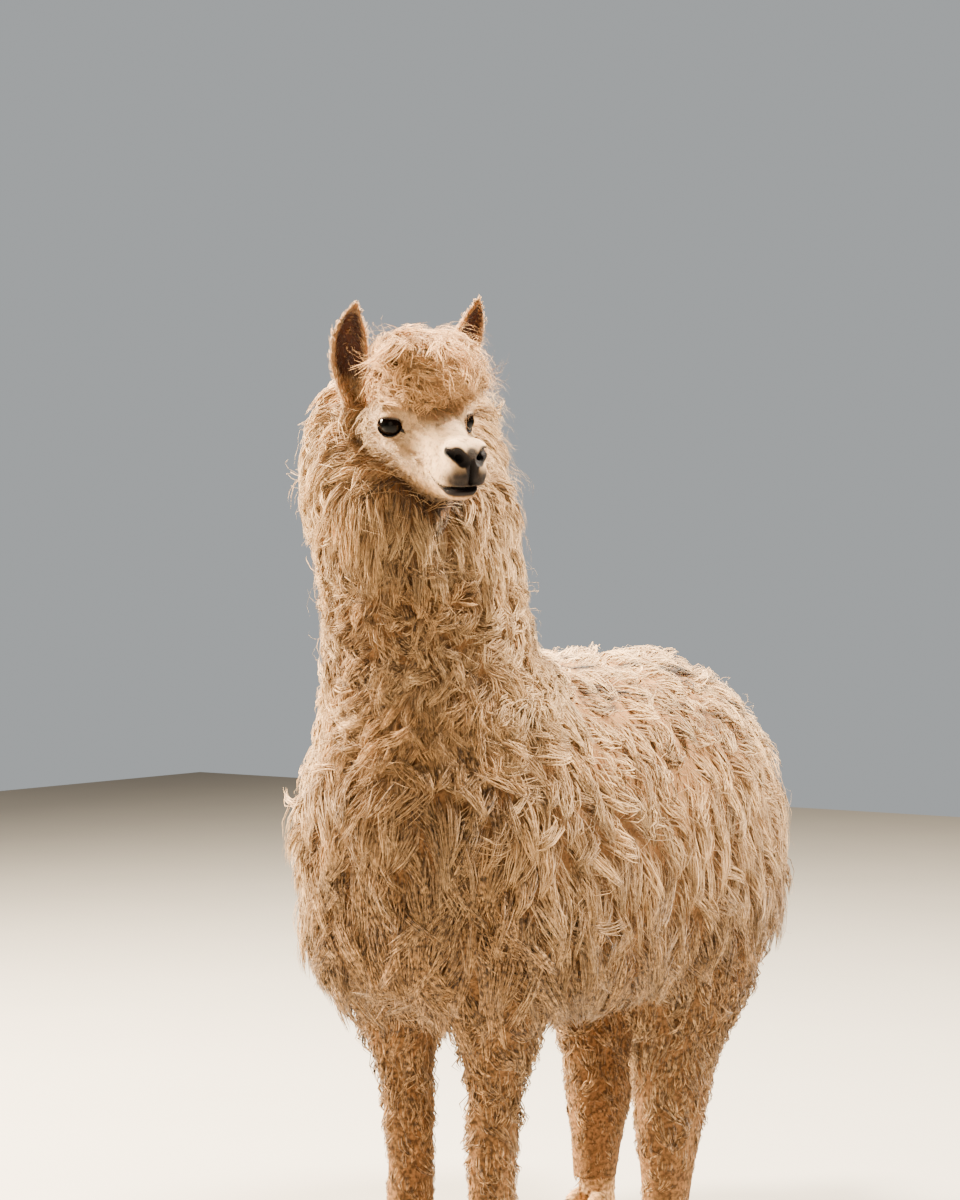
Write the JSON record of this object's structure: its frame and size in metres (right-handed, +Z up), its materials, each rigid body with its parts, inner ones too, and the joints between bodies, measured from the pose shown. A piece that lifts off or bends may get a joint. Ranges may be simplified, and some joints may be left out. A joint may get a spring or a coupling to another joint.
{
  "type": "alpaca",
  "caption": "Life-size standing alpaca in full curly fleece with a woolly topknot, head turned to its left, as a still display model.",
  "frame": {"origin": "on the floor, under the middle of the animal's bounding box", "axes": "+Z up; -Y is the way the trunk faces; +X is the animal's left, to which the head is turned by 60 degrees"},
  "size_m": [0.5474, 1.1078, 1.4665],
  "materials": {
    "fleece": "matt, crimped cream wool in long locks",
    "topknot": "matt, ginger-cream curly wool",
    "face": "short pale hair, dark at the nostrils and lips",
    "ear": "short hair, pale outside and dusky pink-brown inside",
    "eye": "wet, near-black",
    "foot": "short dusty hair over a leathery pad",
    "nail": "dull dark horn"
  },
  "bodies": {
    "root": {"trunk": "fleece", "neck": "fleece", "tail": "fleece", "topknot": "topknot", "head": "face", "muzzle": "face", "lower_jaw": "face", "ear_left": "ear", "eye_left": "eye", "ear_right": "ear", "eye_right": "eye", "leg_front_left": "fleece", "shank_front_left": "fleece", "foot_front_left": "foot", "nail_front_left_inner": "nail", "nail_front_left_outer": "nail", "leg_front_right": "fleece", "shank_front_right": "fleece", "foot_front_right": "foot", "nail_front_right_inner": "nail", "nail_front_right_outer": "nail", "leg_hind_left": "fleece", "shank_hind_left": "fleece", "foot_hind_left": "foot", "nail_hind_left_inner": "nail", "nail_hind_left_outer": "nail", "leg_hind_right": "fleece", "shank_hind_right": "fleece", "foot_hind_right": "foot", "nail_hind_right_inner": "nail", "nail_hind_right_outer": "nail"}
  },
  "joints": []
}
